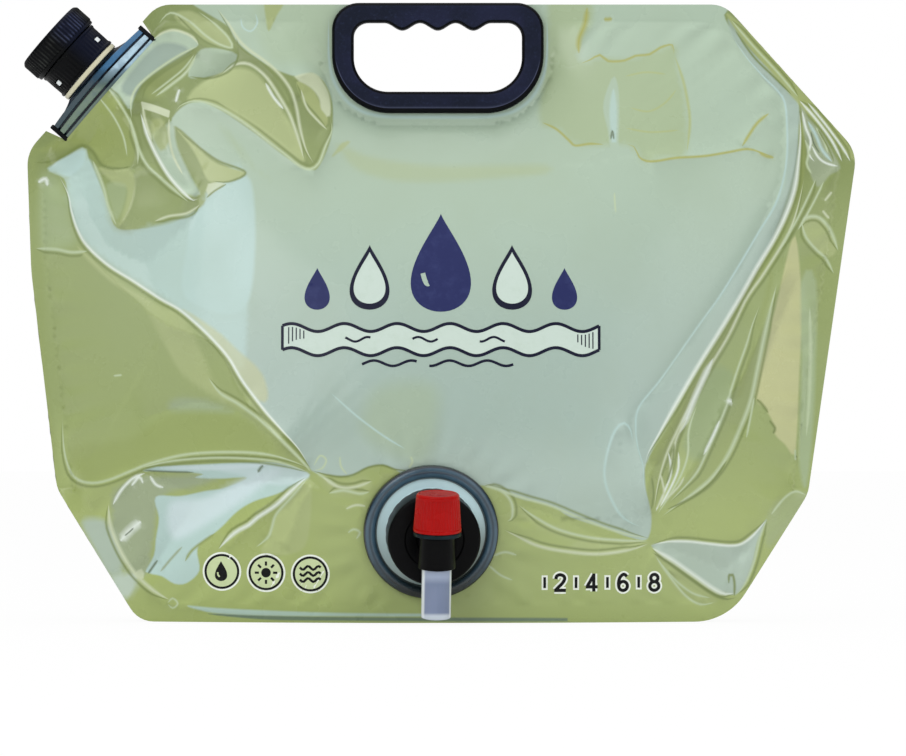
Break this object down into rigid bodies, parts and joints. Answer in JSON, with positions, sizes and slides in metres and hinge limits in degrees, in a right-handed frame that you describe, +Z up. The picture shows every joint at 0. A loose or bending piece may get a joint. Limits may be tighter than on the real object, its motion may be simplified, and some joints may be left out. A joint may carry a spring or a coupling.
{
  "type": "collapsible water carrier",
  "caption": "Collapsible film water carrier with clamped grip handle, bottom gusset, screw-capped corner filler and a quarter-turn tap with a hose-style nozzle.",
  "frame": {"origin": "on the floor, at the middle of the gusset's flat underside", "axes": "+Z up, -Y out of the front panel that carries the tap, +X along the width, away from the filler corner"},
  "size_m": [0.4006, 0.1716, 0.2977],
  "materials": {
    "front_film": "glossy, see-through green film",
    "back_film": "glossy, see-through green film",
    "gusset_film": "glossy, see-through green film",
    "handle_front": "satin moulded plastic",
    "handle_back": "satin moulded plastic",
    "filler_spout": "clear moulded plastic",
    "filler_tamper_band": "black moulded plastic",
    "filler_cap": "black moulded plastic with ribs",
    "filler_cap_liner": "soft pale liner",
    "tap_flange": "clear moulded plastic",
    "tap_gasket": "soft pale seal",
    "tap_nut": "black moulded plastic",
    "tap_body": "black moulded plastic",
    "tap_bonnet": "black moulded plastic",
    "tap_nozzle": "see-through blue-grey plastic",
    "tap_stem": "natural moulded plastic",
    "tap_valve_seal": "soft pale seal",
    "tap_stem_o_ring": "black rubber",
    "tap_knob": "red moulded plastic"
  },
  "bodies": {
    "bag": {"front_film": "front_film", "back_film": "back_film", "gusset_film": "gusset_film", "handle_front": "handle_front", "handle_back": "handle_back", "filler_spout": "filler_spout", "filler_tamper_band": "filler_tamper_band"},
    "tap_mount": {"tap_flange": "tap_flange", "tap_gasket": "tap_gasket", "tap_nut": "tap_nut"},
    "tap": {"tap_body": "tap_body", "tap_bonnet": "tap_bonnet", "tap_nozzle": "tap_nozzle", "tap_stem_o_ring": "tap_stem_o_ring"},
    "stem": {"tap_stem": "tap_stem", "tap_valve_seal": "tap_valve_seal"},
    "knob": {"tap_knob": "tap_knob"},
    "cap_liner": {"filler_cap_liner": "filler_cap_liner"},
    "cap": {"filler_cap": "filler_cap"}
  },
  "joints": [
    {"name": "bag_collapse", "type": "hinge", "parent": "bag", "child": "tap_mount", "pos_m": [0.13156, -0.039, -0.23299], "axis": [-0.8965, 0, -0.4431], "range_deg": [0, 7.78], "deforming": ["front_film", "back_film", "gusset_film"]},
    {"name": "tap_swivel", "type": "hinge", "parent": "tap_mount", "child": "tap", "pos_m": [-0.0053, -0.06, 0.0439], "axis": [0.0858, -0.9811, -0.1736], "range_deg": [-90, 90]},
    {"name": "knob_turn", "type": "hinge", "parent": "tap", "child": "knob", "pos_m": [-0.00224, -0.09493, 0.03772], "axis": [0.0151, -0.173, 0.9848], "range_deg": [0, 90]},
    {"name": "stem_lift", "type": "slide", "parent": "tap", "child": "stem", "axis": [0.0151, -0.173, 0.9848], "range_m": [0, 0.0041]},
    {"name": "cap_lift", "type": "slide", "parent": "bag", "child": "cap_liner", "axis": [-0.7493, 0, 0.6622], "range_m": [0, 0.0121]},
    {"name": "cap_turn", "type": "hinge", "parent": "cap_liner", "child": "cap", "pos_m": [-0.16737, 0, 0.26263], "axis": [-0.7493, 0, 0.6622], "range_deg": [0, 960]}
  ],
  "couplings": [
    {"joint": "stem_lift", "follows": "knob_turn", "m_per_rad": 0.0025465},
    {"joint": "cap_lift", "follows": "cap_turn", "m_per_rad": 0.0007162}
  ]
}
